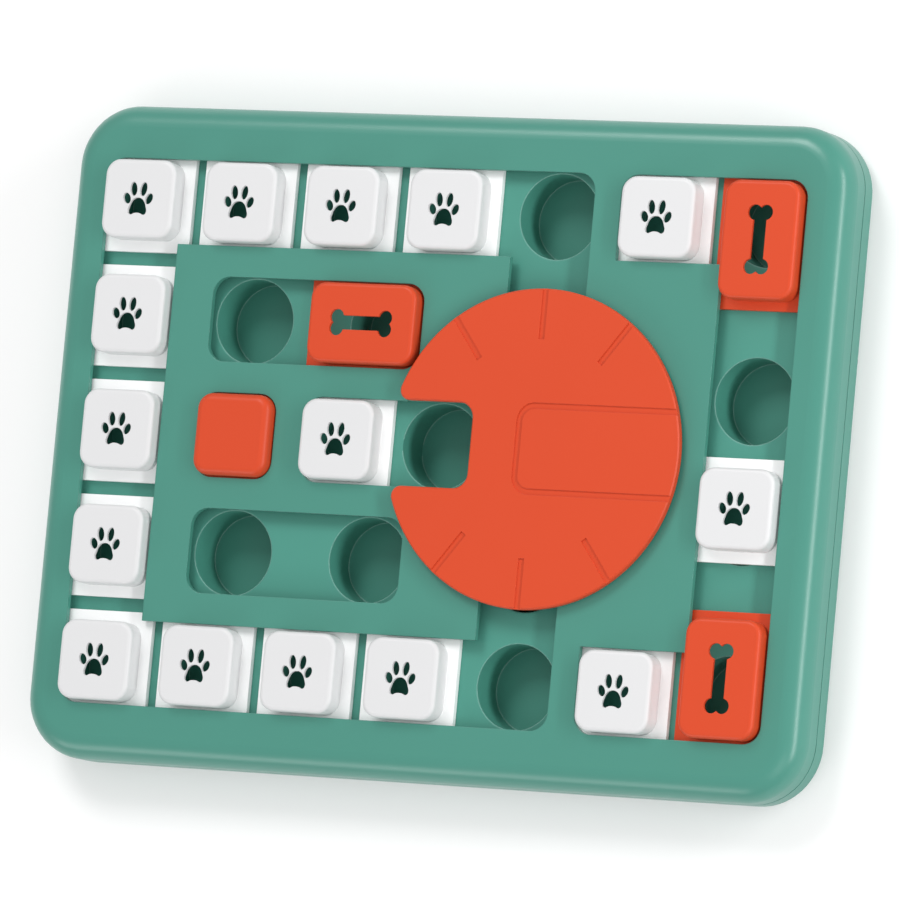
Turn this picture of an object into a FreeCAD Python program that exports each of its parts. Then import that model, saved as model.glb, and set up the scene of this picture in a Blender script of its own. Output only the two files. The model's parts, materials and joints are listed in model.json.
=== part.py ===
import math
import os

import FreeCAD
import Part

# Dog puzzle feeder board, in millimetres. It lies face up: +X runs along the long side,
# +Y across it and +Z up, with the origin on the ground under the middle of the board.

# grid of the sliding blocks, seven columns by five rows
pitch_x = 40.0
pitch_y = 40.86
slot_width = 30.0
slot_corner = 6.5
side_border = 14.8
end_border = 19.5

# heights, from the ground up
foot_height = 1.5
base_depth = 9.5
cover_depth = 14.5
skin = 2.2
floor_skin = 2.0
tray_skin = 1.6
channel_depth = 5.1
well_depth = 15.3

# outside form of the housing
board_corner = 22.0
top_fillet = 8.2
inside_bevel = 6.0
bottom_bevel = 3.4
seam_groove = 0.5
tongue_height = 2.0
tongue_thickness = 1.0
tongue_clearance = 0.2

# sliding blocks
cap_play = 1.0
cap_corner = 5.5
cap_rise = 4.8
cap_skin = 2.2
cut_out_depth = 1.6
cap_wall = 2.4
flange_margin = 4.0
flange_thickness = 2.1
flange_cut_corner = 3.0
bone_flange_margin = 3.0
bone_flange_cut_corner = 4.0
channel_play = 0.5
slider_clearance = 0.1
bone_cap_length = 41.0
bone_length = 24.0
bone_shaft = 5.0
bone_knob = 2.65
bone_knob_spread = 2.0
inner_toe = (1.96, 3.36, 1.2, 2.35, 8.0)
outer_toe = (4.36, 0.0, 1.25, 1.9, 25.0)
toe_corners = 10
pad_top = -0.36
pad_shoulder = (1.6, -1.3)
pad_side = (2.75, -3.0)
pad_widest = (3.35, -4.5)
pad_lobe = (3.1, -5.35)
pad_foot = (2.4, -5.6)
pad_notch = -4.75

# food wells
well_radius = 15.0
right_well_offset = 20.7

# the separate middle panel and its slots
long_slot_start = 15.8
long_slot_to_dial = 1.3
middle_slot_length = 66.7
middle_slot_end = 7.0
button_inset = 30.0

# turning dial
dial_radius = 55.6
dial_offset = 1.6
dial_gap = 1.4
dial_thickness = 2.6
dial_edge = 0.5
notch_width = 30.0
notch_reach = 23.6
notch_corner = 5.5
notch_tip = 3.5
mark_width = 32.0
mark_start = 6.6
mark_line = 2.2
mark_depth = 0.5
mark_corner = 6.5
ray_turn = 37.0
ray_length = 17.6
spindle_radius = 6.0
spindle_clearance = 0.05
post_radius = 11.0
thrust_clearance = 0.1

# squeaker button
button_play = 0.6
button_bevel = 1.6
button_rise = 4.5
button_skin = 1.8
pocket_margin = 2.5
pocket_depth = 12.4
bulb_radius = 11.0
bulb_skin = 1.2
reed_radius = 5.0
reed_height = 3.0

# fasteners, bosses and feet
screw_radius = 1.5
screw_head_radius = 2.8
screw_head_height = 2.0
pilot_clearance = 0.05
screw_hole_radius = 1.7
screw_engagement = 8.0
boss_radius = 3.6
boss_border = 8.0
boss_spacing = 128.0
small_screw_radius = 1.0
small_head_radius = 1.9
small_head_height = 1.5
small_boss_radius = 2.4
foot_radius = 8.0
foot_recess = 0.8
foot_inset_x = 24.0
foot_inset_y = 24.0

# what follows from the sizes above
COLUMNS = 7
ROWS = 5
half_length = (COLUMNS - 1) / 2 * pitch_x + slot_width / 2 + side_border
half_width = (ROWS - 1) / 2 * pitch_y + slot_width / 2 + end_border
seam_z = foot_height + base_depth
panel_z = seam_z + cover_depth
plate_z = panel_z - skin
channel_z = panel_z - channel_depth
tray_z = channel_z - tray_skin
base_floor_z = foot_height + floor_skin
well_floor_z = channel_z - well_depth
half_slot = slot_width / 2
cap_side = slot_width - 2 * cap_play
flange_side = cap_side + 2 * flange_margin
half_channel = flange_side / 2 + channel_play
slider_z = channel_z + slider_clearance
cap_z = panel_z + cap_rise
button_side = slot_width - 2 * button_play
pocket_side = slot_width + 2 * pocket_margin


def column_x(number):
    return (number - (COLUMNS + 1) / 2) * pitch_x


def row_y(number):
    return ((ROWS + 1) / 2 - number) * pitch_y


# the middle panel fills the ring of the left-hand track
island_left = column_x(1) + half_slot
island_right = column_x(5) - half_slot
island_half_width = row_y(1) - half_slot
dial_x = column_x(5) + dial_offset
dial_z = panel_z + dial_gap
long_slot_left = island_left + long_slot_start
slot_corner_y = row_y(2) - half_slot + slot_corner
slot_corner_reach = dial_radius + long_slot_to_dial + slot_corner
long_slot_right = dial_x - math.sqrt(slot_corner_reach ** 2 - slot_corner_y ** 2) + slot_corner
middle_slot_right = island_right - middle_slot_end
middle_slot_left = middle_slot_right - middle_slot_length
button_x = island_left + button_inset
end_slot_left = column_x(6) - half_slot
wall_between = 2.0

# where the eight mouldings of the tray meet
row_seam_y = (row_y(1) + row_y(2)) / 2
slot_seam_y = (row_y(2) + row_y(3)) / 2
left_seam_x = column_x(1) + half_channel + wall_between
right_seam_x = (column_x(5) + column_x(6)) / 2


def vec(x, y, z=0.0):
    return FreeCAD.Vector(x, y, z)


def rounded_outline(x0, y0, x1, y1, radius, z=0.0):
    """Rectangle between two corners with round corners, as a face."""
    if radius <= 0:
        points = [vec(x0, y0, z), vec(x1, y0, z), vec(x1, y1, z), vec(x0, y1, z)]
        return Part.Face(Part.makePolygon(points + points[:1]))
    edges = []
    centres = [(x1 - radius, y0 + radius, -90), (x1 - radius, y1 - radius, 0),
               (x0 + radius, y1 - radius, 90), (x0 + radius, y0 + radius, 180)]
    arcs = []
    for cx, cy, start in centres:
        circle = Part.Circle(vec(cx, cy, z), vec(0, 0, 1), radius)
        arcs.append(circle.toShape(math.radians(start), math.radians(start + 90)))
    for index, arc in enumerate(arcs):
        following = arcs[(index + 1) % 4]
        edges.append(arc)
        start = arc.lastVertex().Point
        end = following.firstVertex().Point
        if start.distanceToPoint(end) > 1e-6:
            edges.append(Part.makeLine(start, end))
    return Part.Face(Part.Wire(edges))


def block(x0, y0, x1, y1, z0, z1, radius=0.0):
    """Upright prism with round corners."""
    return rounded_outline(x0, y0, x1, y1, radius, z0).extrude(vec(0, 0, z1 - z0))


def centred_block(cx, cy, width, depth, z0, z1, radius=0.0):
    return block(cx - width / 2, cy - depth / 2, cx + width / 2, cy + depth / 2, z0, z1, radius)


def cylinder(cx, cy, radius, z0, z1):
    return Part.makeCylinder(radius, z1 - z0, vec(cx, cy, z0))


def edges_at(shape, z):
    """Edges that lie flat at one height."""
    found = []
    for edge in shape.Edges:
        box = edge.BoundBox
        if abs(box.ZMin - z) < 1e-4 and abs(box.ZMax - z) < 1e-4:
            found.append(edge)
    return found


def fused(shapes):
    first = shapes[0]
    return first.multiFuse(shapes[1:]).removeSplitter() if len(shapes) > 1 else first


def save(shape, name):
    if not shape.isValid():
        print("not valid:", name)
    shape.exportStep("parts/" + name + ".step")
    print(name, len(shape.Solids), round(shape.Volume))


# channels in which the flanges of the blocks run, as rectangles in plan
def channel_rectangles():
    left = column_x(1) - half_channel
    right = column_x(5) + half_channel
    rows = []
    for side in (1, -1):
        y = side * row_y(1)
        rows.append((left, y - half_channel, right, y + half_channel))
        rows.append((end_slot_left - flange_margin + channel_play, y - half_channel,
                     column_x(7) + half_channel, y + half_channel))
    reach = row_y(1) + half_channel
    rows.append((left, -reach, column_x(1) + half_channel, reach))
    rows.append((column_x(7) - half_channel, -reach, column_x(7) + half_channel, reach))
    inner = slot_seam_y + wall_between / 2
    middle = column_x(5)
    rows.append((middle - half_channel, inner, middle + half_channel, reach))
    rows.append((middle - half_channel, -reach, middle + half_channel, -inner))
    under = flange_margin - channel_play
    for side in (1, -1):
        y = side * row_y(2)
        rows.append((long_slot_left - under, y - half_channel,
                     long_slot_right + under, y + half_channel))
    rows.append((middle_slot_left - under, -half_channel, middle_slot_right + under, half_channel))
    return rows


def well_centres():
    """Middles of the food wells, under every place where a block can stand."""
    places = []
    for column in range(1, 6):
        places.append((column_x(column), row_y(1)))
        places.append((column_x(column), row_y(5)))
    for row in range(2, 5):
        places.append((column_x(1), row_y(row)))
    for row in (2, 4):
        places.append((column_x(5), row_y(row)))
        places.append((long_slot_left + half_slot, row_y(row)))
        places.append((long_slot_right - half_slot, row_y(row)))
    places.append((middle_slot_left + half_slot, 0.0))
    places.append((middle_slot_right - half_slot, 0.0))
    for side in (1, -1):
        places.append((column_x(6), side * row_y(1)))
        places.append((column_x(7), side * row_y(1)))
        places.append((column_x(7), side * right_well_offset))
    return places


def boss_places():
    y = half_width - boss_border
    places = []
    for step in (-1, 0, 1):
        for side in (1, -1):
            places.append((step * boss_spacing, side * y))
    return places


def island_boss_places():
    strip_left = column_x(1) + half_channel + wall_between
    strip_right = button_x - pocket_side / 2 - tray_skin
    left = (strip_left + strip_right) / 2
    right = (long_slot_right + column_x(5) - half_channel + flange_margin) / 2
    return [(left, 10.0), (left, -10.0), (right, row_y(2)), (right, row_y(4))]


def track_slot_cutter():
    """The square opening of the left-hand track, which the middle panel stands in."""
    return block(column_x(1) - half_slot, -row_y(1) - half_slot, column_x(5) + half_slot,
                 row_y(1) + half_slot, plate_z - 1, panel_z + 1, slot_corner)


def end_slot_cutter():
    """The C-shaped slot of the right-hand track."""
    outer = block(end_slot_left, -row_y(1) - half_slot, column_x(7) + half_slot,
                  row_y(1) + half_slot, plate_z - 1, panel_z + 1, slot_corner)
    inner = block(end_slot_left - 1, -row_y(1) + half_slot, column_x(7) - half_slot,
                  row_y(1) - half_slot, plate_z - 1, panel_z + 1)
    return outer.cut(inner)


def make_top_cover():
    shell = centred_block(0, 0, 2 * half_length, 2 * half_width, seam_z, panel_z, board_corner)
    shell = shell.makeFillet(top_fillet, edges_at(shell, panel_z))
    inside = centred_block(0, 0, 2 * (half_length - skin), 2 * (half_width - skin),
                           seam_z - 1, plate_z, board_corner - skin)
    inside = inside.makeChamfer(inside_bevel, edges_at(inside, plate_z))
    shell = shell.cut(inside)
    groove = centred_block(0, 0, 2 * half_length + 2, 2 * half_width + 2,
                           seam_z - 1, seam_z + seam_groove, board_corner + 1)
    core = centred_block(0, 0, 2 * (half_length - seam_groove), 2 * (half_width - seam_groove),
                         seam_z - 1, seam_z + seam_groove, board_corner - seam_groove)
    shell = shell.cut(groove.cut(core))
    bosses = []
    for x, y in boss_places():
        bosses.append(cylinder(x, y, boss_radius, seam_z + seam_groove, plate_z + skin / 2))
    shell = fused([shell] + bosses)
    pilots = []
    for x, y in boss_places():
        pilots.append(cylinder(x, y, screw_radius + pilot_clearance, seam_z,
                               seam_z + seam_groove + screw_engagement + 1))
    return shell.cut(pilots + [track_slot_cutter(), end_slot_cutter()])


def make_base_shell():
    shell = centred_block(0, 0, 2 * half_length, 2 * half_width, foot_height, seam_z, board_corner)
    shell = shell.makeChamfer(bottom_bevel, edges_at(shell, foot_height))
    inside = centred_block(0, 0, 2 * (half_length - skin), 2 * (half_width - skin),
                           base_floor_z, seam_z + 1, board_corner - skin)
    shell = shell.cut(inside)
    outside = skin + tongue_clearance
    tongue = centred_block(0, 0, 2 * (half_length - outside), 2 * (half_width - outside),
                           seam_z - 3 * tongue_height, seam_z + tongue_height,
                           board_corner - outside)
    hollow = outside + tongue_thickness
    tongue = tongue.cut(centred_block(0, 0, 2 * (half_length - hollow), 2 * (half_width - hollow),
                                      seam_z - 4 * tongue_height, seam_z + 2 * tongue_height,
                                      board_corner - hollow))
    ledge = centred_block(0, 0, 2 * (half_length - skin / 2), 2 * (half_width - skin / 2),
                          seam_z - 3 * tongue_height, seam_z - tongue_height,
                          board_corner - skin / 2)
    ledge = ledge.cut(centred_block(0, 0, 2 * (half_length - hollow), 2 * (half_width - hollow),
                                    seam_z - 4 * tongue_height, seam_z + 2 * tongue_height,
                                    board_corner - hollow))
    pieces = [shell, tongue, ledge]
    for x, y in boss_places():
        pieces.append(cylinder(x, y, boss_radius, foot_height + floor_skin / 2,
                               seam_z + seam_groove))
    shell = fused(pieces)
    holes = []
    for x, y in boss_places():
        seat = foot_height + 2 * screw_head_height
        holes.append(cylinder(x, y, screw_head_radius + 0.2, foot_height - 1, seat))
        holes.append(cylinder(x, y, screw_hole_radius, foot_height - 1, seam_z + 1))
    for x, y in foot_places():
        holes.append(cylinder(x, y, foot_radius, foot_height - 1, foot_height + foot_recess))
    return shell.cut(holes)


def foot_places():
    places = []
    for side_x in (1, -1):
        for side_y in (1, -1):
            places.append((side_x * (half_length - foot_inset_x),
                           side_y * (half_width - foot_inset_y)))
    return places


def make_well(x, y):
    """One cup: its eight-sided outer form and its round inner form."""
    reach = (well_radius + tray_skin) / math.cos(math.pi / 8)
    corners = []
    for step in range(9):
        angle = math.pi / 8 + step * math.pi / 4
        corners.append(vec(x + reach * math.cos(angle), y + reach * math.sin(angle),
                           well_floor_z - tray_skin))
    outer = Part.Face(Part.makePolygon(corners)).extrude(vec(0, 0, well_depth + tray_skin))
    inner = cylinder(x, y, well_radius, well_floor_z, plate_z + 1)
    return outer, inner


def make_whole_tray():
    channels = channel_rectangles()
    left = min(rectangle[0] for rectangle in channels) - wall_between
    right = max(rectangle[2] for rectangle in channels) + wall_between
    reach = max(rectangle[3] for rectangle in channels) + wall_between
    plate = block(left, -reach, right, reach, tray_z, channel_z)
    walls = []
    for x0, y0, x1, y1 in channels:
        walls.append(block(x0 - wall_between, y0 - wall_between, x1 + wall_between,
                           y1 + wall_between, tray_z, plate_z))
    half_pocket = pocket_side / 2
    pocket_floor = plate_z - pocket_depth
    walls.append(centred_block(button_x, 0, pocket_side + 2 * tray_skin,
                               pocket_side + 2 * tray_skin, pocket_floor - tray_skin, plate_z))
    outers = []
    inners = []
    for x, y in well_centres():
        outer, inner = make_well(x, y)
        outers.append(outer)
        inners.append(inner)
    post_top = panel_z - skin / 2
    post = cylinder(dial_x, 0, post_radius, tray_z, post_top)
    tray = fused([plate] + walls + outers + [post])
    cutters = []
    for x0, y0, x1, y1 in channels:
        cutters.append(block(x0, y0, x1, y1, channel_z, plate_z + 1))
    cutters.append(centred_block(button_x, 0, pocket_side, pocket_side, pocket_floor, plate_z + 1))
    cutters.append(cylinder(button_x, 0, reed_radius, pocket_floor - tray_skin - 1, plate_z))
    cutters.append(cylinder(dial_x, 0, spindle_radius + spindle_clearance, tray_z - 1, panel_z))
    for x, y in island_boss_places():
        cutters.append(cylinder(x, y, small_screw_radius + pilot_clearance, tray_z - 1, plate_z))
        cutters.append(cylinder(x, y, small_boss_radius + pilot_clearance, channel_z, plate_z + 1))
    return tray.cut(cutters + inners)


def tray_regions():
    """Parts of the board, in plan, that the eight mouldings of the tray fill."""
    far_x = 2 * half_length
    far_y = 2 * half_width
    return {
        "tray_top_row": (-far_x, row_seam_y, right_seam_x, far_y),
        "tray_bottom_row": (-far_x, -far_y, right_seam_x, -row_seam_y),
        "tray_left_column": (-far_x, -row_seam_y, left_seam_x, row_seam_y),
        "tray_upper_slot": (left_seam_x, slot_seam_y, right_seam_x, row_seam_y),
        "tray_middle": (left_seam_x, -slot_seam_y, right_seam_x, slot_seam_y),
        "tray_lower_slot": (left_seam_x, -row_seam_y, right_seam_x, -slot_seam_y),
        "tray_right_upper": (right_seam_x, 0, far_x, far_y),
        "tray_right_lower": (right_seam_x, -far_y, far_x, 0),
    }


def make_island_plate():
    plate = block(island_left, -island_half_width, island_right, island_half_width,
                  plate_z, panel_z)
    cutters = []
    for row in (2, 4):
        cutters.append(block(long_slot_left, row_y(row) - half_slot, long_slot_right,
                             row_y(row) + half_slot, plate_z - 1, panel_z + 1, slot_corner))
    cutters.append(block(middle_slot_left, -half_slot, middle_slot_right, half_slot,
                         plate_z - 1, panel_z + 1, slot_corner))
    cutters.append(centred_block(button_x, 0, slot_width, slot_width, plate_z - 1, panel_z + 1,
                                 slot_corner))
    plate = plate.cut(cutters)
    bosses = []
    pilots = []
    for x, y in island_boss_places():
        bosses.append(cylinder(x, y, small_boss_radius, channel_z, plate_z + skin / 4))
        pilots.append(cylinder(x, y, small_screw_radius + pilot_clearance, channel_z - 1,
                               panel_z - skin / 3))
    return fused([plate] + bosses).cut(pilots)


def toe_face(half_width, half_length, z):
    """Oval as a polygon, which keeps the many blocks light."""
    corners = []
    for step in range(toe_corners + 1):
        angle = 2 * math.pi * step / toe_corners
        corners.append(vec(half_width * math.cos(angle), half_length * math.sin(angle), z))
    return Part.Face(Part.makePolygon(corners))


def paw_cutter(cx, cy, z0, z1):
    """Four oval toes and a pad."""
    pieces = []
    for across, along, half_width, half_length, lean in (inner_toe, outer_toe):
        for side in (1, -1):
            toe = toe_face(half_width, half_length, z0)
            toe.rotate(vec(0, 0, z0), vec(0, 0, 1), -side * lean)
            toe.translate(vec(cx + side * across, cy + along, 0))
            pieces.append(toe.extrude(vec(0, 0, z1 - z0)))
    right = [pad_shoulder, pad_side, pad_widest, pad_lobe, pad_foot]
    left = [(-x, y) for x, y in reversed(right)]
    outline = [(0, pad_top)] + right + [(0, pad_notch)] + left + [(0, pad_top)]
    pad = Part.Face(Part.makePolygon([vec(x, y, z0) for x, y in outline]))
    pad.translate(vec(cx, cy, 0))
    pieces.append(pad.extrude(vec(0, 0, z1 - z0)))
    return pieces


def bone_cutter(cx, cy, z0, z1, turned):
    """Bar with two round knobs at each end."""
    reach = bone_length / 2 - bone_knob
    pieces = [centred_block(cx, cy, bone_shaft, 2 * reach, z0, z1)]
    for side_y in (1, -1):
        for side_x in (1, -1):
            pieces.append(cylinder(cx + side_x * bone_knob_spread, cy + side_y * reach,
                                   bone_knob, z0, z1))
    bone = fused(pieces)
    if turned:
        bone.rotate(vec(cx, cy, z0), vec(0, 0, 1), 90)
    return bone


def cut_corner_block(cx, cy, width, depth, corner, z0, z1):
    """Upright prism with its four corners cut off."""
    right = width / 2
    back = depth / 2
    quarter = [(right, back - corner), (right - corner, back)]
    outline = quarter + [(-x, y) for x, y in reversed(quarter)]
    outline += [(-x, -y) for x, y in outline]
    points = [vec(cx + x, cy + y, z0) for x, y in outline]
    return Part.Face(Part.makePolygon(points + points[:1])).extrude(vec(0, 0, z1 - z0))


def make_slider(cx, cy, width, depth, flange_width, flange_depth, corner, cutters):
    """Hollow cap on a wide flange, open underneath, with a cut-out in its top."""
    flange = cut_corner_block(cx, cy, flange_width, flange_depth, corner,
                              slider_z, slider_z + flange_thickness)
    cap = centred_block(cx, cy, width, depth, slider_z, cap_z, cap_corner)
    hollow = centred_block(cx, cy, width - 2 * cap_wall, depth - 2 * cap_wall,
                           slider_z - 1, cap_z - cap_skin)
    return fused([flange, cap]).cut([hollow] + cutters)


def make_paw_slider(cx, cy):
    return make_slider(cx, cy, cap_side, cap_side, flange_side, flange_side, flange_cut_corner,
                       paw_cutter(cx, cy, cap_z - cut_out_depth, cap_z + 1))


def make_bone_slider(cx, cy, turned):
    flange_length = bone_cap_length + 2 * bone_flange_margin
    sizes = (cap_side, bone_cap_length, flange_side, flange_length)
    if turned:
        sizes = (bone_cap_length, cap_side, flange_length, flange_side)
    cutter = bone_cutter(cx, cy, cap_z - cut_out_depth, cap_z + 1, turned)
    return make_slider(cx, cy, *sizes, bone_flange_cut_corner, [cutter])


def make_dial():
    top = dial_z + dial_thickness
    disc = cylinder(dial_x, 0, dial_radius, dial_z, top)
    notch = block(dial_x - 2 * dial_radius, -notch_width / 2, dial_x - notch_reach,
                  notch_width / 2, dial_z - 1, top + 1, notch_corner)
    disc = disc.cut(notch)
    tips = []
    for edge in disc.Edges:
        box = edge.BoundBox
        upright = abs(box.ZLength - dial_thickness) < 1e-4 and box.XLength < 1e-4
        if upright and box.XMin < dial_x - notch_reach - notch_corner - 1:
            tips.append(edge)
    disc = disc.makeFillet(notch_tip, tips)
    disc = disc.makeChamfer(dial_edge, edges_at(disc, top))
    hub_bottom = panel_z - skin / 2 + thrust_clearance
    hub = cylinder(dial_x, 0, post_radius, hub_bottom, dial_z + dial_thickness / 2)
    spindle = cylinder(dial_x, 0, spindle_radius, tray_z - thrust_clearance,
                       dial_z + dial_thickness / 2)
    pilot = cylinder(dial_x, 0, screw_radius + pilot_clearance, tray_z - 1,
                     tray_z + screw_engagement)
    return fused([disc, hub, spindle]).cut([pilot] + dial_marks(top))


def dial_marks(top):
    """Shallow grooves: rays at the rim and the outline that mirrors the notch."""
    low = top - mark_depth
    outer = block(dial_x - mark_start, -mark_width / 2, dial_x + 2 * dial_radius, mark_width / 2,
                  low, top + 1, mark_corner)
    inner = block(dial_x - mark_start + mark_line, -mark_width / 2 + mark_line,
                  dial_x + 3 * dial_radius, mark_width / 2 - mark_line, low - 1, top + 2,
                  mark_corner - mark_line)
    marks = [outer.cut(inner)]
    for side in (1, -1):
        for step in (-1, 0, 1):
            ray = block(dial_x + dial_radius - ray_length, -mark_line / 2,
                        dial_x + dial_radius + 1, mark_line / 2, low, top + 1)
            ray.rotate(vec(dial_x, 0, 0), vec(0, 0, 1), side * 90 + step * ray_turn)
            marks.append(ray)
    return marks


def make_dial_washer():
    top = tray_z - thrust_clearance
    washer = cylinder(dial_x, 0, spindle_radius + 3, top - tray_skin, top)
    return washer.cut(cylinder(dial_x, 0, screw_radius + pilot_clearance, top - 3, top + 1))


def pan_screw(x, y, seat_z, radius, length, head_radius, head_height):
    """Screw that points up, with its head under the seat."""
    head = cylinder(x, y, head_radius, seat_z - head_height, seat_z)
    return fused([head, cylinder(x, y, radius, seat_z, seat_z + length)])


def make_dial_screw():
    seat = tray_z - thrust_clearance - tray_skin
    return pan_screw(dial_x, 0, seat, screw_radius, screw_engagement, screw_head_radius,
                     screw_head_height)


def make_housing_screws():
    seat = foot_height + 2 * screw_head_height
    length = seam_z + seam_groove + screw_engagement - seat
    screws = []
    for x, y in boss_places():
        screws.append(pan_screw(x, y, seat, screw_radius, length, screw_head_radius,
                                screw_head_height))
    return Part.makeCompound(screws)


def make_island_screws():
    length = panel_z - skin / 3 - tray_z - 0.5
    screws = []
    for x, y in island_boss_places():
        screws.append(pan_screw(x, y, tray_z, small_screw_radius, length, small_head_radius,
                                small_head_height))
    return Part.makeCompound(screws)


def make_rubber_feet():
    feet = []
    for x, y in foot_places():
        feet.append(cylinder(x, y, foot_radius, 0, foot_height + foot_recess))
    return Part.makeCompound(feet)


def make_squeaker_button():
    top = panel_z + button_rise
    bottom = plate_z - thrust_clearance - flange_thickness
    flange = centred_block(button_x, 0, pocket_side - 2 * channel_play,
                           pocket_side - 2 * channel_play, bottom, bottom + flange_thickness)
    cap = centred_block(button_x, 0, button_side, button_side, bottom, top, cap_corner)
    cap = cap.makeChamfer(button_bevel, edges_at(cap, top))
    hollow = centred_block(button_x, 0, button_side - 2 * button_skin,
                           button_side - 2 * button_skin, bottom - 1, top - button_skin,
                           cap_corner - button_skin)
    return fused([flange, cap]).cut(hollow)


def make_squeaker_bulb():
    """Hollow rubber bulb that stands in the pocket and carries the button."""
    low = plate_z - pocket_depth
    high = panel_z + button_rise - button_skin - thrust_clearance
    bulb = cylinder(button_x, 0, bulb_radius, low, high)
    room = cylinder(button_x, 0, bulb_radius - bulb_skin, low + reed_height, high - bulb_skin)
    seat = cylinder(button_x, 0, reed_radius + pilot_clearance, low - 1, low + reed_height + 1)
    return bulb.cut([room, seat])


def make_squeaker_reed():
    """Whistle that sits in the pocket's hole, under the bulb."""
    low = plate_z - pocket_depth - tray_skin
    body = cylinder(button_x, 0, reed_radius, low, low + reed_height)
    hole = cylinder(button_x, 0, reed_radius / 3, low - 1, low + reed_height + 1)
    return body.cut(hole)


def block_places():
    """Rest places of the paw blocks, by the name of each."""
    places = {}
    for column in range(1, 5):
        places["paw_slider_top_%d" % column] = (column_x(column), row_y(1))
        places["paw_slider_bottom_%d" % column] = (column_x(column), row_y(5))
    for row in range(2, 5):
        places["paw_slider_left_%d" % row] = (column_x(1), row_y(row))
    places["paw_slider_corner_upper"] = (column_x(6) + cap_play, row_y(1))
    places["paw_slider_corner_lower"] = (column_x(6) + cap_play, row_y(5))
    places["paw_slider_right"] = (column_x(7), 3.5 - right_well_offset)
    places["paw_slider_middle"] = (middle_slot_left + cap_play + cap_side / 2, 0.0)
    return places


os.makedirs("parts", exist_ok=True)
save(make_top_cover(), "top_cover")
save(make_base_shell(), "base_shell")
whole_tray = make_whole_tray()
for name, (x0, y0, x1, y1) in tray_regions().items():
    save(whole_tray.common(block(x0, y0, x1, y1, 0, panel_z)), name)
save(make_island_plate(), "island_plate")
save(make_rubber_feet(), "rubber_feet")
save(make_housing_screws(), "housing_screws")
save(make_island_screws(), "island_screws")
save(make_squeaker_button(), "squeaker_button")
save(make_squeaker_bulb(), "squeaker_bulb")
save(make_squeaker_reed(), "squeaker_reed")
save(make_dial(), "dial")
save(make_dial_washer(), "dial_washer")
save(make_dial_screw(), "dial_screw")
for name, (x, y) in block_places().items():
    save(make_paw_slider(x, y), name)
bone_y = row_y(1) + half_slot - cap_play - bone_cap_length / 2
save(make_bone_slider(column_x(7), bone_y, False), "bone_slider_upper")
save(make_bone_slider(column_x(7), -bone_y, False), "bone_slider_lower")
save(make_bone_slider(long_slot_right - cap_play - bone_cap_length / 2, row_y(2), True),
     "bone_slider_middle")
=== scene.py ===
import json
import math

import bpy
from mathutils import Euler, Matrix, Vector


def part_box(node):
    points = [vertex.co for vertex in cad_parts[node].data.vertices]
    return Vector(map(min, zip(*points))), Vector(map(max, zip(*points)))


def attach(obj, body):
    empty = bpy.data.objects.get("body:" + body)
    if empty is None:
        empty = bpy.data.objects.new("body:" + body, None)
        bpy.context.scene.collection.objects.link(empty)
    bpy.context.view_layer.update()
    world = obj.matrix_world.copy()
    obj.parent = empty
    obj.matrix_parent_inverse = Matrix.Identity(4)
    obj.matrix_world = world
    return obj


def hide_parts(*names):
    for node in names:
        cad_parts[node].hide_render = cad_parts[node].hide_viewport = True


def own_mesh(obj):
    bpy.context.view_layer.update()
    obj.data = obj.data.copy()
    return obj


# Looks of the dog puzzle feeder board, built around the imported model. Metres, +Z up.
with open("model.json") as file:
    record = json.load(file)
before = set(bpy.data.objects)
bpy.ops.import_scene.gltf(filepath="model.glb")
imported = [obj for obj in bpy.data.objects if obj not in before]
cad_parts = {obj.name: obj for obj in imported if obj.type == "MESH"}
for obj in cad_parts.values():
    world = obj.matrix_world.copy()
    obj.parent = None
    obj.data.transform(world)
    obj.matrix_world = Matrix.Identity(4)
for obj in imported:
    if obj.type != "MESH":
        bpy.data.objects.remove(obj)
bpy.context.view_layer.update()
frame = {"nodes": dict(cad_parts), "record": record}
mm = 0.001
nearly = 1e-6


# small helpers for working as by hand

def deselectAll():
    if bpy.context.mode != "OBJECT":
        bpy.ops.object.mode_set(mode="OBJECT")
    bpy.ops.object.select_all(action="DESELECT")


def makeActive(piece):
    deselectAll()
    piece.select_set(True)
    bpy.context.view_layer.objects.active = piece


def namePiece(name):
    piece = bpy.context.active_object
    piece.name = name
    piece.data.name = name
    return piece


def applyPlace(piece):
    makeActive(piece)
    bpy.ops.object.transform_apply(location=True, rotation=True, scale=True)


def editEdges(piece, wanted):
    # enters edit mode with the edges selected whose two ends satisfy wanted
    makeActive(piece)
    mesh = piece.data
    for vertex in mesh.vertices:
        vertex.select = False
    for face in mesh.polygons:
        face.select = False
    for edge in mesh.edges:
        ends = [mesh.vertices[index].co for index in edge.vertices]
        edge.select = wanted(ends[0], ends[1])
    bpy.context.scene.tool_settings.mesh_select_mode = (False, True, False)
    bpy.ops.object.mode_set(mode="EDIT")


def editAll(piece):
    makeActive(piece)
    bpy.ops.object.mode_set(mode="EDIT")
    bpy.ops.mesh.select_all(action="SELECT")


def endEdit():
    bpy.ops.object.mode_set(mode="OBJECT")


def addCylinder(name, x, y, radius, low, high, sides):
    deselectAll()
    bpy.ops.mesh.primitive_cylinder_add(vertices=sides, radius=radius, depth=high - low,
                                        location=(x, y, (low + high) / 2))
    return namePiece(name)


def addBox(name, width, depth, low, high):
    deselectAll()
    bpy.ops.mesh.primitive_cube_add(size=1, location=(0, 0, (low + high) / 2))
    piece = namePiece(name)
    piece.scale = (width, depth, high - low)
    applyPlace(piece)
    return piece


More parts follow.
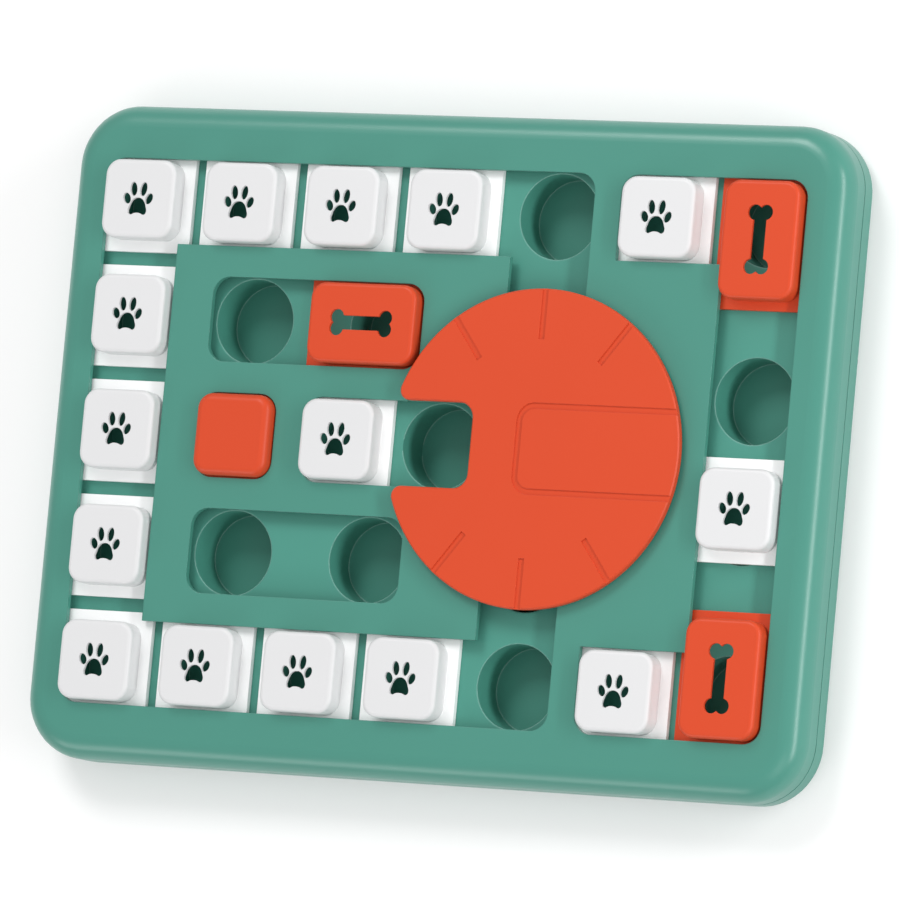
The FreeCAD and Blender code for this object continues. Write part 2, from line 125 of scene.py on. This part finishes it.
def roundedBlock(name, size, low, high, corner, cornerSteps, topRound=0.0, topSteps=0):
    # upright block with round corners and, if asked, a soft top edge
    piece = addBox(name, *size, low, high)
    editEdges(piece, lambda a, b: abs(a.z - b.z) > (high - low) / 2)
    bpy.ops.mesh.bevel(offset=corner, segments=cornerSteps, affect="EDGES")
    endEdit()
    if topRound > 0:
        editEdges(piece, lambda a, b: min(a.z, b.z) > high - nearly)
        bpy.ops.mesh.bevel(offset=topRound, segments=topSteps, affect="EDGES")
        endEdit()
    return piece


def combine(piece, other, operation):
    makeActive(piece)
    bpy.ops.object.modifier_add(type="BOOLEAN")
    modifier = piece.modifiers[-1]
    modifier.object = other
    modifier.operation = operation
    modifier.solver = "EXACT"
    bpy.ops.object.modifier_apply(modifier=modifier.name)
    bpy.data.objects.remove(other)
    return piece


def finishShading(piece, angle):
    # smooth across soft edges, flat faces stay flat; the angle is in degrees
    makeActive(piece)
    bpy.ops.object.shade_smooth_by_angle(angle=math.radians(angle))
    bpy.ops.object.modifier_add(type="WEIGHTED_NORMAL")
    piece.modifiers[-1].keep_sharp = True
    bpy.ops.object.modifier_apply(modifier=piece.modifiers[-1].name)


def copyTo(model, name, x, y, turn):
    makeActive(model)
    bpy.ops.object.duplicate(linked=False)
    piece = namePiece(name)
    piece.rotation_euler = (0, 0, turn)
    piece.location = (x, y, 0)
    applyPlace(piece)
    return piece


def middleOf(node):
    low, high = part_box(node)
    return (low.x + high.x) / 2, (low.y + high.y) / 2


# helpers for node trees

def newGroup(name, inputs, outputs):
    group = bpy.data.node_groups.new(name, "ShaderNodeTree")
    for label, kind, value in inputs:
        socket = group.interface.new_socket(name=label, in_out="INPUT", socket_type=kind)
        socket.default_value = value
    for label, kind in outputs:
        group.interface.new_socket(name=label, in_out="OUTPUT", socket_type=kind)
    return group, group.nodes.new("NodeGroupInput"), group.nodes.new("NodeGroupOutput")


def useGroup(tree, group, values):
    node = tree.nodes.new("ShaderNodeGroup")
    node.node_tree = group
    for label, value in values.items():
        node.inputs[label].default_value = value
    return node


def addNoise(tree, coordinates, scale, detail):
    noise = tree.nodes.new("ShaderNodeTexNoise")
    noise.inputs["Scale"].default_value = scale
    noise.inputs["Detail"].default_value = detail
    tree.links.new(coordinates, noise.inputs["Vector"])
    return noise.outputs["Fac"]


def addMath(tree, operation, first, second):
    node = tree.nodes.new("ShaderNodeMath")
    node.operation = operation
    for socket, value in zip(node.inputs, (first, second)):
        if isinstance(value, (int, float)):
            socket.default_value = value
        else:
            tree.links.new(value, socket)
    return node.outputs["Value"]


# a Mix node has two inputs and an output of its own for each kind of value
mixSockets = {"RGBA": (6, 7, 2), "VECTOR": (4, 5, 1)}


def addMix(tree, kind, mask, first, second):
    mix = tree.nodes.new("ShaderNodeMix")
    mix.data_type = kind
    tree.links.new(mask, mix.inputs[0])
    firstIndex, secondIndex, mixedIndex = mixSockets[kind]
    for index, value in ((firstIndex, first), (secondIndex, second)):
        if isinstance(value, tuple):
            mix.inputs[index].default_value = value
        else:
            tree.links.new(value, mix.inputs[index])
    return mix.outputs[mixedIndex]


def objectPlace(group):
    # X, Y and Z in the object's own space
    coordinates = group.nodes.new("ShaderNodeTexCoord").outputs["Object"]
    split = group.nodes.new("ShaderNodeSeparateXYZ")
    group.links.new(coordinates, split.inputs["Vector"])
    return split.outputs


def linear(red, green, blue):
    # colours are written as they look on the screen, from 0 to 255
    return tuple(((value / 255 + 0.055) / 1.055) ** 2.4 for value in (red, green, blue))


# moulded plastic, rubber and steel

faceValues = {"driftScale": 14.0, "driftDetail": 3, "smudgeScale": 90.0, "smudgeDetail": 4,
              "grainScale": 3200.0, "grainDetail": 2}


def makeMouldedGroup():
    # tone drift, handling smudges and the fine grain of a moulded face
    group, given, result = newGroup(
        "mouldedFace",
        [("Colour", "NodeSocketColor", (0.5, 0.5, 0.5, 1)), ("Drift", "NodeSocketFloat", 0.05),
         ("Roughness", "NodeSocketFloat", 0.4), ("Smudge", "NodeSocketFloat", 0.08)],
        [("Colour", "NodeSocketColor"), ("Roughness", "NodeSocketFloat"),
         ("Grain", "NodeSocketFloat")])
    coordinates = group.nodes.new("ShaderNodeTexCoord").outputs["Object"]
    noises = {kind: addNoise(group, coordinates, faceValues[kind + "Scale"],
                             faceValues[kind + "Detail"])
              for kind in ("drift", "smudge", "grain")}
    centred = addMath(group, "SUBTRACT", noises["drift"], 0.5)
    gain = addMath(group, "ADD", addMath(group, "MULTIPLY", centred, given.outputs["Drift"]), 1)
    tint = group.nodes.new("ShaderNodeVectorMath")
    tint.operation = "SCALE"
    group.links.new(given.outputs["Colour"], tint.inputs[0])
    group.links.new(gain, tint.inputs["Scale"])
    group.links.new(tint.outputs["Vector"], result.inputs["Colour"])
    centred = addMath(group, "SUBTRACT", noises["smudge"], 0.5)
    spread = addMath(group, "MULTIPLY", centred, given.outputs["Smudge"])
    group.links.new(addMath(group, "ADD", given.outputs["Roughness"], spread),
                    result.inputs["Roughness"])
    group.links.new(noises["grain"], result.inputs["Grain"])
    return group


def makeBandGroup():
    # mask that is 1 up to a height in the object's own space
    group, given, result = newGroup(
        "belowHeight", [("Height", "NodeSocketFloat", 0.02)], [("Mask", "NodeSocketFloat")])
    below = addMath(group, "LESS_THAN", objectPlace(group)["Z"], given.outputs["Height"])
    group.links.new(below, result.inputs["Mask"])
    return group


def makeSeamGroup():
    # mask that is 1 close to the planes where two mouldings of the tray meet
    group, given, result = newGroup(
        "traySeams", [("AlongX", "NodeSocketFloat", 0.0), ("AcrossY", "NodeSocketFloat", 0.0),
                      ("Near", "NodeSocketFloat", 0.002)], [("Mask", "NodeSocketFloat")])
    place = objectPlace(group)
    near = given.outputs["Near"]
    far = addMath(group, "ABSOLUTE", place["Y"], 0)
    gap = addMath(group, "ABSOLUTE", addMath(group, "SUBTRACT", far, given.outputs["AcrossY"]), 0)
    across = addMath(group, "LESS_THAN", gap, near)
    side = addMath(group, "SUBTRACT", place["X"], given.outputs["AlongX"])
    along = addMath(group, "LESS_THAN", addMath(group, "ABSOLUTE", side, 0), near)
    middle = addMath(group, "LESS_THAN", far, near)
    both = addMath(group, "MAXIMUM", across, along)
    group.links.new(addMath(group, "MAXIMUM", both, middle), result.inputs["Mask"])
    return group


mouldedGroup = makeMouldedGroup()
bandGroup = makeBandGroup()
seamGroup = makeSeamGroup()


def makeFace(name, colour, roughness, drift, smudge):
    # new material with its colour and roughness from the moulded face
    material = bpy.data.materials.new(name)
    material.use_nodes = True
    tree = material.node_tree
    face = useGroup(tree, mouldedGroup, {"Colour": (*linear(*colour), 1), "Drift": drift,
                                         "Roughness": roughness, "Smudge": smudge})
    face.name = "face"
    shader = tree.nodes["Principled BSDF"]
    tree.links.new(face.outputs["Colour"], shader.inputs["Base Color"])
    tree.links.new(face.outputs["Roughness"], shader.inputs["Roughness"])
    return material, shader


# edge is the radius of the soft edge, grain the strength of the fine bumps
plasticValues = {
    "greenShell": {"colour": (72, 140, 125), "roughness": 0.3, "edge": 0.45 * mm},
    "greenTray": {"colour": (76, 146, 131), "roughness": 0.4, "edge": 0.9 * mm, "specular": 0.32},
    "orangePlastic": {"colour": (211, 73, 38), "roughness": 0.42, "edge": 0.22 * mm,
                      "specular": 0.28},
    "orangeCap": {"colour": (211, 73, 38), "roughness": 0.4, "edge": 0.25 * mm,
                  "specular": 0.28},
    "whiteCap": {"colour": (219, 219, 220), "roughness": 0.42, "edge": 0.25 * mm},
    "rubberFoot": {"colour": (38, 38, 40), "roughness": 0.75, "edge": 0.5 * mm, "grain": 0.3,
                   "specular": 0.3},
    "bulbRubber": {"colour": (222, 220, 210), "roughness": 0.6, "edge": 0.3 * mm, "grain": 0.2},
    "reedPlastic": {"colour": (235, 235, 230), "roughness": 0.35, "edge": 0.2 * mm},
}
mouldValues = {"drift": 0.05, "smudge": 0.08, "grainDepth": 0.1 * mm, "edgeSamples": 6}
steelValues = {"colour": (168, 168, 165), "roughness": 0.32, "drift": 0.25, "smudge": 0.2}


def makePlastic(name, colour, roughness, edge, grain=0.12, specular=0.5):
    material, shader = makeFace(name, colour, roughness, mouldValues["drift"],
                                mouldValues["smudge"])
    tree = material.node_tree
    shader.inputs["Specular IOR Level"].default_value = specular
    softEdge = tree.nodes.new("ShaderNodeBevel")
    softEdge.name = "softEdge"
    softEdge.samples = mouldValues["edgeSamples"]
    softEdge.inputs["Radius"].default_value = edge
    bump = tree.nodes.new("ShaderNodeBump")
    bump.name = "bump"
    bump.inputs["Strength"].default_value = grain
    bump.inputs["Distance"].default_value = mouldValues["grainDepth"]
    tree.links.new(tree.nodes["face"].outputs["Grain"], bump.inputs["Height"])
    tree.links.new(softEdge.outputs["Normal"], bump.inputs["Normal"])
    tree.links.new(bump.outputs["Normal"], shader.inputs["Normal"])
    return material


def makeSteel(name, values):
    # zinc plated steel with small tone changes
    material, shader = makeFace(name, **values)
    shader.inputs["Metallic"].default_value = 1
    return material


def coverColour(tree, mask, colour):
    # lays a second colour over the face's own where the mask is 1
    own = tree.nodes["face"].outputs["Colour"]
    mixed = addMix(tree, "RGBA", mask, own, (*linear(*colour), 1))
    tree.links.new(mixed, tree.nodes["Principled BSDF"].inputs["Base Color"])


def passLight(material, share):
    # a thin cap lets part of the light through to the inside
    tree = material.node_tree
    path = tree.nodes.new("ShaderNodeLightPath")
    clear = tree.nodes.new("ShaderNodeBsdfTransparent")
    mix = tree.nodes.new("ShaderNodeMixShader")
    part = addMath(tree, "MULTIPLY", path.outputs["Is Shadow Ray"], share)
    tree.links.new(part, mix.inputs["Fac"])
    tree.links.new(tree.nodes["Principled BSDF"].outputs["BSDF"], mix.inputs[1])
    tree.links.new(clear.outputs["BSDF"], mix.inputs[2])
    tree.links.new(mix.outputs["Shader"], tree.nodes["Material Output"].inputs["Surface"])


def paintFlangeLight(material, colour, height):
    # painted light: the flange under a cap is painted the paler of the two, as if lit where the
    # cap shades it
    tree = material.node_tree
    band = useGroup(tree, bandGroup, {"Height": height})
    coverColour(tree, band.outputs["Mask"], colour)


def paintRimHighlight(material, colour, strength, start, seamX, seamY):
    # painted highlight: rounded rims are painted paler where the soft edge bends the normal, as
    # if they catch the light; the joints between the mouldings stay plain
    tree = material.node_tree
    seams = useGroup(tree, seamGroup, {"AlongX": seamX, "AcrossY": seamY})
    facing = tree.nodes.new("ShaderNodeNewGeometry").outputs["Normal"]
    normal = addMix(tree, "VECTOR", seams.outputs["Mask"],
                    tree.nodes["softEdge"].outputs["Normal"], facing)
    tree.links.new(normal, tree.nodes["bump"].inputs["Normal"])
    turned = tree.nodes.new("ShaderNodeVectorMath")
    turned.operation = "DOT_PRODUCT"
    tree.links.new(normal, turned.inputs[0])
    tree.links.new(facing, turned.inputs[1])
    bend = addMath(tree, "SUBTRACT", start, turned.outputs["Value"])
    highlightMask = addMath(tree, "MAXIMUM", addMath(tree, "MULTIPLY", bend, strength), 0)
    coverColour(tree, addMath(tree, "MINIMUM", highlightMask, 1), colour)


# pawLight and boneLight: the share of the light that passes through a cap
# start: the cosine between a rim's soft and true normal at which the painted highlight begins
# the flange's colour here is painted light: a paler colour laid on the flange below flangeTop
capValues = {"pawLight": 0.65, "boneLight": 0.75, "flangeColour": (248, 249, 249),
             "flangeTop": 22.75 * mm}
# painted highlight on the tray rims: its colour, strength and start
rimHighlightValues = {"colour": (165, 205, 195), "strength": 2.2, "start": 0.97}
finishes = {name: makePlastic(name, **values) for name, values in plasticValues.items()}
finishes["screwSteel"] = makeSteel("screwSteel", steelValues)
passLight(finishes["whiteCap"], capValues["pawLight"])
passLight(finishes["orangeCap"], capValues["boneLight"])
# painted light on the white caps' flanges
paintFlangeLight(finishes["whiteCap"], capValues["flangeColour"], capValues["flangeTop"])
# painted highlight on the rims of the tray
paintRimHighlight(finishes["greenTray"], rimHighlightValues["colour"], rimHighlightValues["strength"], rimHighlightValues["start"],
         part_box("tray_left_column")[1].x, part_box("tray_upper_slot")[1].y)

slotFinishes = {"green_shell": "greenShell", "green_tray": "greenTray",
                "orange_plastic": "orangePlastic", "white_plastic": "whiteCap",
                "feet_rubber": "rubberFoot", "bulb_rubber": "bulbRubber",
                "reed_plastic": "reedPlastic", "screw_steel": "screwSteel"}
for entry in frame["record"]["subparts"]:
    node = frame["nodes"][entry["node"]]
    node.data.materials.clear()
    node.data.materials.append(finishes[slotFinishes[entry["material_slot"]]])
print("materials are on the packed nodes")


# sliding blocks

stepValues = {"flange": 3, "inside": 6}
shadingValues = {"cap": 32, "bulb": 60}
overCut = 1 * mm
blockValues = {
    "side": 28 * mm, "corner": 5.5 * mm, "cornerSteps": 10, "topRound": 1.5 * mm, "topSteps": 5,
    "flangeSide": 36 * mm, "flangeThick": 2.1 * mm, "flangeRound": 1 * mm, "wall": 2 * mm,
    "skin": 1.2 * mm,
}


def addCutter(x, y, width, depth, turn, low, high, sides):
    # upright oval that reaches a little past the face it cuts
    cutter = addCylinder("cutter", x, y, 1, low, high + overCut, sides)
    cutter.scale = (width, depth, 1)
    cutter.rotation_euler = (0, 0, turn)
    applyPlace(cutter)
    return cutter


def addPadCutter(points, steps, low, high):
    # the pad's outline is a smooth closed curve through a few points
    deselectAll()
    bpy.ops.curve.primitive_bezier_circle_add(location=(0, 0, (low + high) / 2))
    cutter = namePiece("padCutter")
    outline = points + [(-x, y) for x, y in reversed(points[1:-1])]
    curve = cutter.data
    curve.dimensions = "2D"
    curve.fill_mode = "BOTH"
    curve.resolution_u = steps
    curve.extrude = (high - low) / 2
    spline = curve.splines[0]
    spline.bezier_points.add(len(outline) - len(spline.bezier_points))
    for point, (x, y) in zip(spline.bezier_points, outline):
        point.co = (x * mm, y * mm, 0)
        point.handle_left_type = "AUTO"
        point.handle_right_type = "AUTO"
    makeActive(cutter)
    bpy.ops.object.convert(target="MESH")
    editAll(cutter)
    bpy.ops.mesh.remove_doubles(threshold=nearly)
    bpy.ops.mesh.normals_make_consistent(inside=False)
    endEdit()
    applyPlace(cutter)
    return cutter


def hollowCap(name, size, flangeSize, low, high, values):
    # cap on its flange, hollow and open underneath
    cap = roundedBlock(name, size, low, high, values["corner"], values["cornerSteps"],
                       values["topRound"], values["topSteps"])
    flange = roundedBlock("flange", flangeSize, low, low + values["flangeThick"],
                          values["flangeRound"], stepValues["flange"])
    combine(cap, flange, "UNION")
    inside = roundedBlock("inside", [side - 2 * values["wall"] for side in size],
                          low - overCut, high - values["skin"],
                          values["corner"] - values["wall"], stepValues["inside"])
    return combine(cap, inside, "DIFFERENCE")


# toes: across, along, half width and half length in mm, and the lean in degrees
# pad: right half of its outline in mm, from the top of the middle line round to its bottom
pawValues = {
    "toes": [(1.96, 3.36, 1.38, 2.5, 8), (4.36, 0.0, 1.42, 2.05, 25)], "toeSides": 32,
    "pad": [(0, 0.3), (1.4, 0.0), (2.6, -1.1), (3.35, -2.9), (3.7, -4.5), (3.25, -5.5),
            (2.3, -5.75), (1.15, -5.25), (0, -5.1)], "padSteps": 8,
}


def makePawBlock(low, high):
    side, flangeSide = blockValues["side"], blockValues["flangeSide"]
    block = hollowCap("pawBlockModel", (side, side), (flangeSide, flangeSide), low, high,
                      blockValues)
    cutLow = high - 2 * blockValues["skin"]
    for across, along, halfWidth, halfLength, lean in pawValues["toes"]:
        for way in (1, -1):
            toe = addCutter(way * across * mm, along * mm, halfWidth * mm, halfLength * mm,
                            math.radians(-way * lean), cutLow, high, pawValues["toeSides"])
            combine(block, toe, "DIFFERENCE")
    pad = addPadCutter(pawValues["pad"], pawValues["padSteps"], cutLow, high + overCut)
    combine(block, pad, "DIFFERENCE")
    finishShading(block, shadingValues["cap"])
    return block


boneValues = {"length": 41 * mm, "flangeLength": 47 * mm, "knob": 2.65 * mm, "knobSides": 40,
              "spread": 2 * mm, "reach": 9.35 * mm, "shaft": 5 * mm}


def makeBoneBlock(low, high):
    bone = boneValues
    block = hollowCap("boneBlockModel", (blockValues["side"], bone["length"]),
                      (blockValues["flangeSide"], bone["flangeLength"]), low, high, blockValues)
    cutLow = high - 2 * blockValues["skin"]
    shaft = addBox("shaft", bone["shaft"], 2 * bone["reach"], cutLow, high + overCut)
    for wayX in (1, -1):
        for wayY in (1, -1):
            knob = addCutter(wayX * bone["spread"], wayY * bone["reach"], bone["knob"],
                             bone["knob"], 0, cutLow, high, bone["knobSides"])
            combine(shaft, knob, "UNION")
    combine(block, shaft, "DIFFERENCE")
    finishShading(block, shadingValues["cap"])
    return block


pawNodes = sorted(name for name in frame["nodes"] if name.startswith("paw_slider"))
boneNodes = sorted(name for name in frame["nodes"] if name.startswith("bone_slider"))
blockLow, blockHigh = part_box(pawNodes[0])
pawModel = makePawBlock(blockLow.z, blockHigh.z)
boneModel = makeBoneBlock(blockLow.z, blockHigh.z)


def partName(start, node, drop):
    words = node.replace(drop, "").split("_")
    return start + "".join(word.capitalize() for word in words)


def placeBlock(model, node, name, material, turn=0.0):
    x, y = middleOf(node)
    piece = copyTo(model, name, x, y, turn)
    piece.data.materials.clear()
    piece.data.materials.append(material)
    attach(piece, node)
    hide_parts(node)


for node in pawNodes:
    placeBlock(pawModel, node, partName("pawBlock", node, "paw_slider_"), finishes["whiteCap"])
for node in boneNodes:
    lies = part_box(node)[1].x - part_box(node)[0].x > boneValues["length"]
    placeBlock(boneModel, node, partName("boneBlock", node, "bone_slider_"),
               finishes["orangeCap"], math.pi / 2 if lies else 0.0)
for model in (pawModel, boneModel):
    bpy.data.objects.remove(model)
print("sliding blocks are in place")


# squeaker button and the rubber bulb under it

buttonValues = {"side": 28.8 * mm, "corner": 5.5 * mm, "cornerSteps": 12, "topRound": 2.8 * mm,
                "topSteps": 8, "flangeThick": 2.1 * mm, "flangeRound": 1 * mm,
                "wall": 1.8 * mm, "skin": 1.8 * mm}
bulbValues = {"radius": 11 * mm, "neck": 9.2 * mm, "folds": 4, "sides": 48}


def makeButton():
    low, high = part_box("squeaker_button")
    side = buttonValues["side"]
    button = hollowCap("squeakerButton", (side, side), (high.x - low.x, high.y - low.y),
                       low.z, high.z, buttonValues)
    button.location = (*middleOf("squeaker_button"), 0)
    applyPlace(button)
    finishShading(button, shadingValues["cap"])
    button.data.materials.append(finishes["orangeCap"])
    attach(button, "squeaker_button")
    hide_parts("squeaker_button")


def makeBulb():
    # bellows: rings cut into a cylinder, every second one drawn in
    values = bulbValues
    low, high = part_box("squeaker_bulb")
    x, y = middleOf("squeaker_bulb")
    bulb = addCylinder("squeakerBulb", x, y, values["radius"], low.z, high.z, values["sides"])
    applyPlace(bulb)
    rings = 2 * values["folds"]
    step = (high.z - low.z) / (rings + 1)
    for ring in range(1, rings + 1):
        editAll(bulb)
        bpy.ops.mesh.bisect(plane_co=(x, y, low.z + ring * step), plane_no=(0, 0, 1))
        endEdit()
    shrink = values["neck"] / values["radius"]
    for ring in range(1, rings + 1, 2):
        height = low.z + ring * step
        editEdges(bulb, lambda a, b: abs(a.z - height) + abs(b.z - height) < nearly)
        bpy.ops.transform.resize(value=(shrink, shrink, 1), center_override=(x, y, height))
        endEdit()
    finishShading(bulb, shadingValues["bulb"])
    bulb.data.materials.append(finishes["bulbRubber"])
    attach(bulb, "board")
    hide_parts("squeaker_bulb")
    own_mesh(bulb)


makeButton()
makeBulb()
print("squeaker is in place")


# studio: pale floor, soft key light from the upper left, a strip that draws the right-hand edge,
# and two weak lamps from the front

floorValues = {"size": 9.0, "white": 0.8, "roughness": 0.9, "lift": 0.2}
worldValues = {"strength": 0.55}
lampValues = {
    "keyLamp": {"place": (-0.5, 1.4, 1.7), "aim": (0, 0, 0), "size": (0.8, 0.8), "power": 19.0},
    "edgeStrip": {"place": (1.25, 0.12, 0.62), "aim": (0.1, 0, 0), "size": (0.14, 1.5),
                  "power": 11.5},
    "frontFill": {"place": (0.9, -0.9, 1.5), "aim": (0, 0, 0), "size": (1.0, 0.8),
                  "power": 3.0},
    "lowStrip": {"place": (-0.75, -1.3, 0.62), "aim": (0, -0.1, 0), "size": (0.5, 1.2),
                 "power": 6.0},
}


def makeFloor():
    # the lift makes the floor a little lighter to the camera without lighting the board
    deselectAll()
    bpy.ops.mesh.primitive_plane_add(size=floorValues["size"], location=(0, 0, 0))
    floor = namePiece("studioFloor")
    material = bpy.data.materials.new("studioWhite")
    material.use_nodes = True
    tree = material.node_tree
    shader = tree.nodes["Principled BSDF"]
    white = floorValues["white"]
    shader.inputs["Base Color"].default_value = (white, white, white, 1)
    shader.inputs["Roughness"].default_value = floorValues["roughness"]
    shader.inputs["Specular IOR Level"].default_value = 0.0
    shader.inputs["Emission Color"].default_value = (1, 1, 1, 1)
    path = tree.nodes.new("ShaderNodeLightPath").outputs
    seen = addMath(tree, "MAXIMUM", path["Is Camera Ray"], path["Is Glossy Ray"])
    seen = addMath(tree, "MAXIMUM", seen, path["Is Transmission Ray"])
    lift = addMath(tree, "MULTIPLY", seen, floorValues["lift"])
    tree.links.new(lift, shader.inputs["Emission Strength"])
    floor.data.materials.append(material)


def makeLamps():
    for name, values in lampValues.items():
        deselectAll()
        bpy.ops.object.light_add(type="AREA", location=values["place"])
        lamp = namePiece(name)
        lamp.data.shape = "RECTANGLE"
        lamp.data.size, lamp.data.size_y = values["size"]
        lamp.data.energy = values["power"]
        away = [start - end for start, end in zip(values["place"], values["aim"])]
        lamp.rotation_euler = Euler((0, math.atan2(math.hypot(away[0], away[1]), away[2]),
                                     math.atan2(away[1], away[0])))


def makeWorld():
    world = bpy.data.worlds.new("studioWorld")
    bpy.context.scene.world = world
    world.use_nodes = True
    background = world.node_tree.nodes["Background"]
    background.inputs["Color"].default_value = (1, 1, 1, 1)
    background.inputs["Strength"].default_value = worldValues["strength"]


makeFloor()
makeLamps()
makeWorld()
print("studio is lit")


# camera where the photograph was taken from; its turns are in degrees

cameraValues = {"place": (1.3547, -0.2753, 2.7688), "turn": (7.6716, 25.5438, 5.8469),
                "lens": 355.02, "sensor": 36.0, "reach": 30}
deselectAll()
bpy.ops.object.camera_add(location=cameraValues["place"])
camera = namePiece("photoCamera")
camera.rotation_euler = Euler([math.radians(angle) for angle in cameraValues["turn"]])
camera.data.lens = cameraValues["lens"]
camera.data.sensor_width = cameraValues["sensor"]
camera.data.clip_end = cameraValues["reach"]
bpy.context.scene.camera = camera
bpy.context.scene.view_settings.view_transform = "Standard"
print("camera is set")
